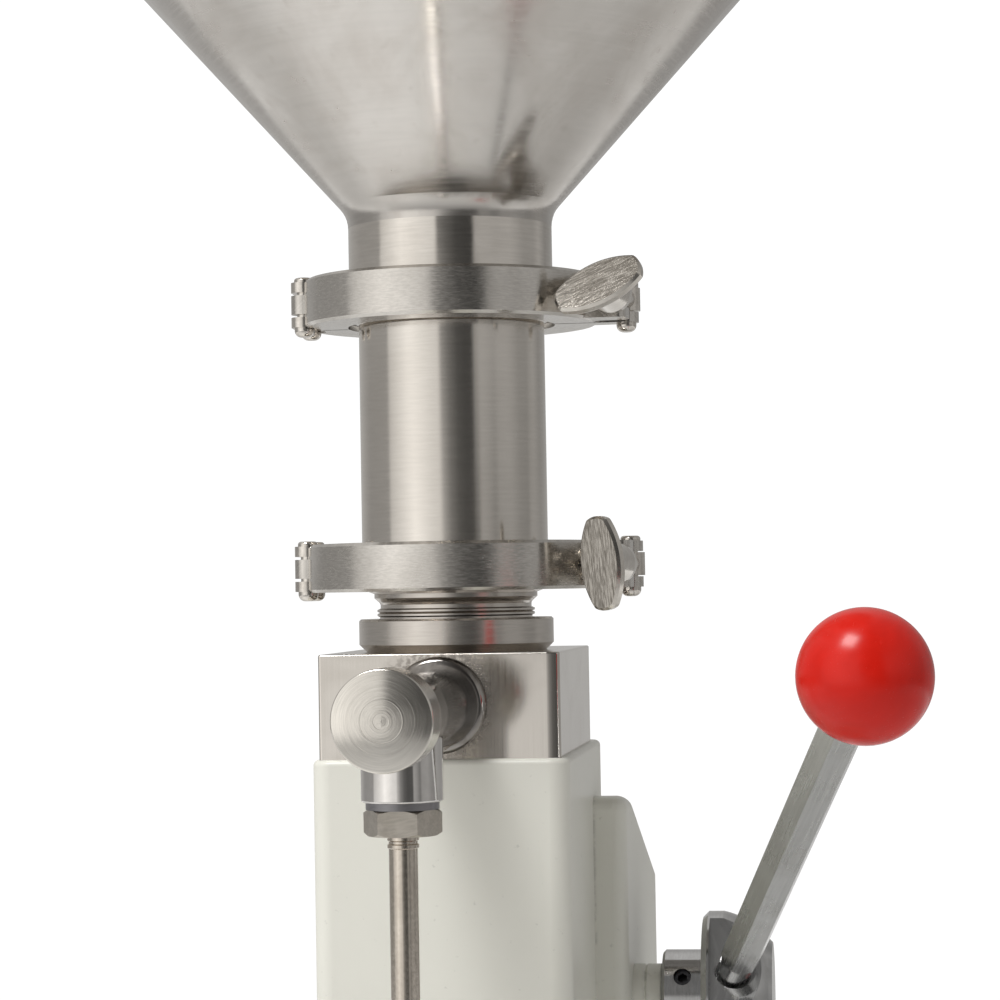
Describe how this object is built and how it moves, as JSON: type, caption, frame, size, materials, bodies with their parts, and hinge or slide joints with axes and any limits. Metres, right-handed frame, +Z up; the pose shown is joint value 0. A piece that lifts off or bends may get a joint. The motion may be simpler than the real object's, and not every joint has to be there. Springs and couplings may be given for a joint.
{
  "type": "piston liquid filler",
  "caption": "Hand-lever piston liquid filler: hopper and pump cylinder joined by hinged clamps over a valve block, with a forward outlet and hanging nozzle on a painted column.",
  "frame": {"origin": "on the bench under the axis of the pump cylinder", "axes": "+Z up along the pump axis, +X to the lever side, -Y to the front, where the nozzle hangs"},
  "size_m": [0.308, 0.308, 0.77],
  "materials": {
    "cream_paint": "glossy cream enamel over a casting",
    "polished_steel": "polished stainless steel",
    "brushed_band": "stainless steel brushed along the band",
    "satin_sheet": "satin stainless sheet",
    "turned_steel": "turned stainless steel",
    "chrome_steel": "chromed, mirror bright",
    "zinc_steel": "zinc plated bar",
    "black_steel": "black oxide",
    "plain_steel": "oiled machined steel",
    "cast_grey": "machined cast iron",
    "bronze": "turned bronze",
    "white_seal": "white fluoropolymer",
    "silicone": "translucent white silicone",
    "red_ball": "glossy red phenolic",
    "black_knob": "black moulded plastic"
  },
  "bodies": {
    "frame": {"base_casting": "cream_paint", "column_bolts": "black_steel", "body_casting": "cream_paint", "rear_cover": "cream_paint", "rear_cover_screws": "turned_steel", "valve_block": "polished_steel", "block_screws": "black_steel", "lock_ring": "turned_steel", "lower_ferrule": "turned_steel", "clamp_gaskets": "silicone", "cylinder_tube": "polished_steel", "hopper_ferrule": "polished_steel", "hopper_shell": "satin_sheet", "clamp_links": "chrome_steel", "clamp_rivets": "chrome_steel", "rod_gland": "bronze", "rod_seal": "white_seal", "small_screws": "black_steel", "rack_guide": "bronze", "right_bushing": "cream_paint", "left_bushing": "bronze", "outlet_body": "chrome_steel", "outlet_seat": "white_seal", "outlet_spring": "turned_steel", "outlet_cap": "turned_steel", "cap_seal": "silicone", "nozzle_washer": "plain_steel", "nozzle_nut": "turned_steel", "nozzle_tube": "turned_steel", "stop_block": "plain_steel", "scale_plate": "brushed_band", "scale_screws": "turned_steel", "lower_clamp_front": "brushed_band", "lower_clamp_rear": "brushed_band", "upper_clamp_front": "brushed_band", "upper_clamp_rear": "brushed_band"},
    "lever": {"lever_hub": "chrome_steel", "hub_set_screw": "black_steel", "lever_rod": "zinc_steel", "ball_knob": "red_ball", "drive_shaft": "plain_steel", "drive_gear": "cast_grey", "gear_pin": "plain_steel", "shaft_spacer": "plain_steel"},
    "piston": {"piston_rod": "chrome_steel", "piston_head": "turned_steel", "piston_seals": "white_seal", "valve_stop_washer": "turned_steel", "piston_nut": "turned_steel", "rack": "plain_steel", "rack_pin": "plain_steel", "stop_rod": "plain_steel"},
    "piston_valve": {"piston_valve_disc": "white_seal"},
    "outlet_check": {"outlet_ball": "chrome_steel"},
    "lower_bolt": {"lower_swing_bolt": "chrome_steel"},
    "lower_nut": {"lower_wing_nut": "chrome_steel"},
    "upper_bolt": {"upper_swing_bolt": "chrome_steel"},
    "upper_nut": {"upper_wing_nut": "chrome_steel"},
    "stop_clamp": {"stop_knob": "black_knob"}
  },
  "joints": [
    {"name": "lever_swing", "type": "hinge", "parent": "frame", "child": "lever", "pos_m": [0.06, 0.045, 0.3115], "axis": [1, 0, 0], "range_deg": [0, 50]},
    {"name": "piston_travel", "type": "slide", "parent": "frame", "child": "piston", "axis": [0, 0, 1], "range_m": [-0.0324, 0]},
    {"name": "piston_valve_lift", "type": "slide", "parent": "piston", "child": "piston_valve", "axis": [0, 0, 1], "range_m": [0, 0.0048]},
    {"name": "outlet_ball_lift", "type": "slide", "parent": "frame", "child": "outlet_check", "axis": [0, -1, 0], "range_m": [0, 0.003], "stiffness_N_per_m": 80, "springref_m": -0.01, "deforming": ["outlet_spring"]},
    {"name": "lower_bolt_swing", "type": "hinge", "parent": "frame", "child": "lower_bolt", "pos_m": [0.0478, 0.0052, 0.4345], "axis": [0, 0, 1], "range_deg": [0, 100]},
    {"name": "lower_nut_turn", "type": "hinge", "parent": "lower_bolt", "child": "lower_nut", "pos_m": [0.0451, -0.01965, 0.4345], "axis": [-0.108, -0.9942, 0], "range_deg": [0, 1080]},
    {"name": "upper_bolt_swing", "type": "hinge", "parent": "frame", "child": "upper_bolt", "pos_m": [0.0478, 0.0052, 0.507], "axis": [0, 0, 1], "range_deg": [0, 100]},
    {"name": "upper_nut_turn", "type": "hinge", "parent": "upper_bolt", "child": "upper_nut", "pos_m": [0.0451, -0.01965, 0.507], "axis": [-0.108, -0.9942, 0], "range_deg": [0, 1080]},
    {"name": "stop_knob_turn", "type": "hinge", "parent": "frame", "child": "stop_clamp", "pos_m": [0, -0.045, 0.174], "axis": [0, -1, 0], "range_deg": [0, 360]}
  ],
  "couplings": [
    {"joint": "piston_travel", "follows": "lever_swing", "m_per_rad": -0.037}
  ]
}
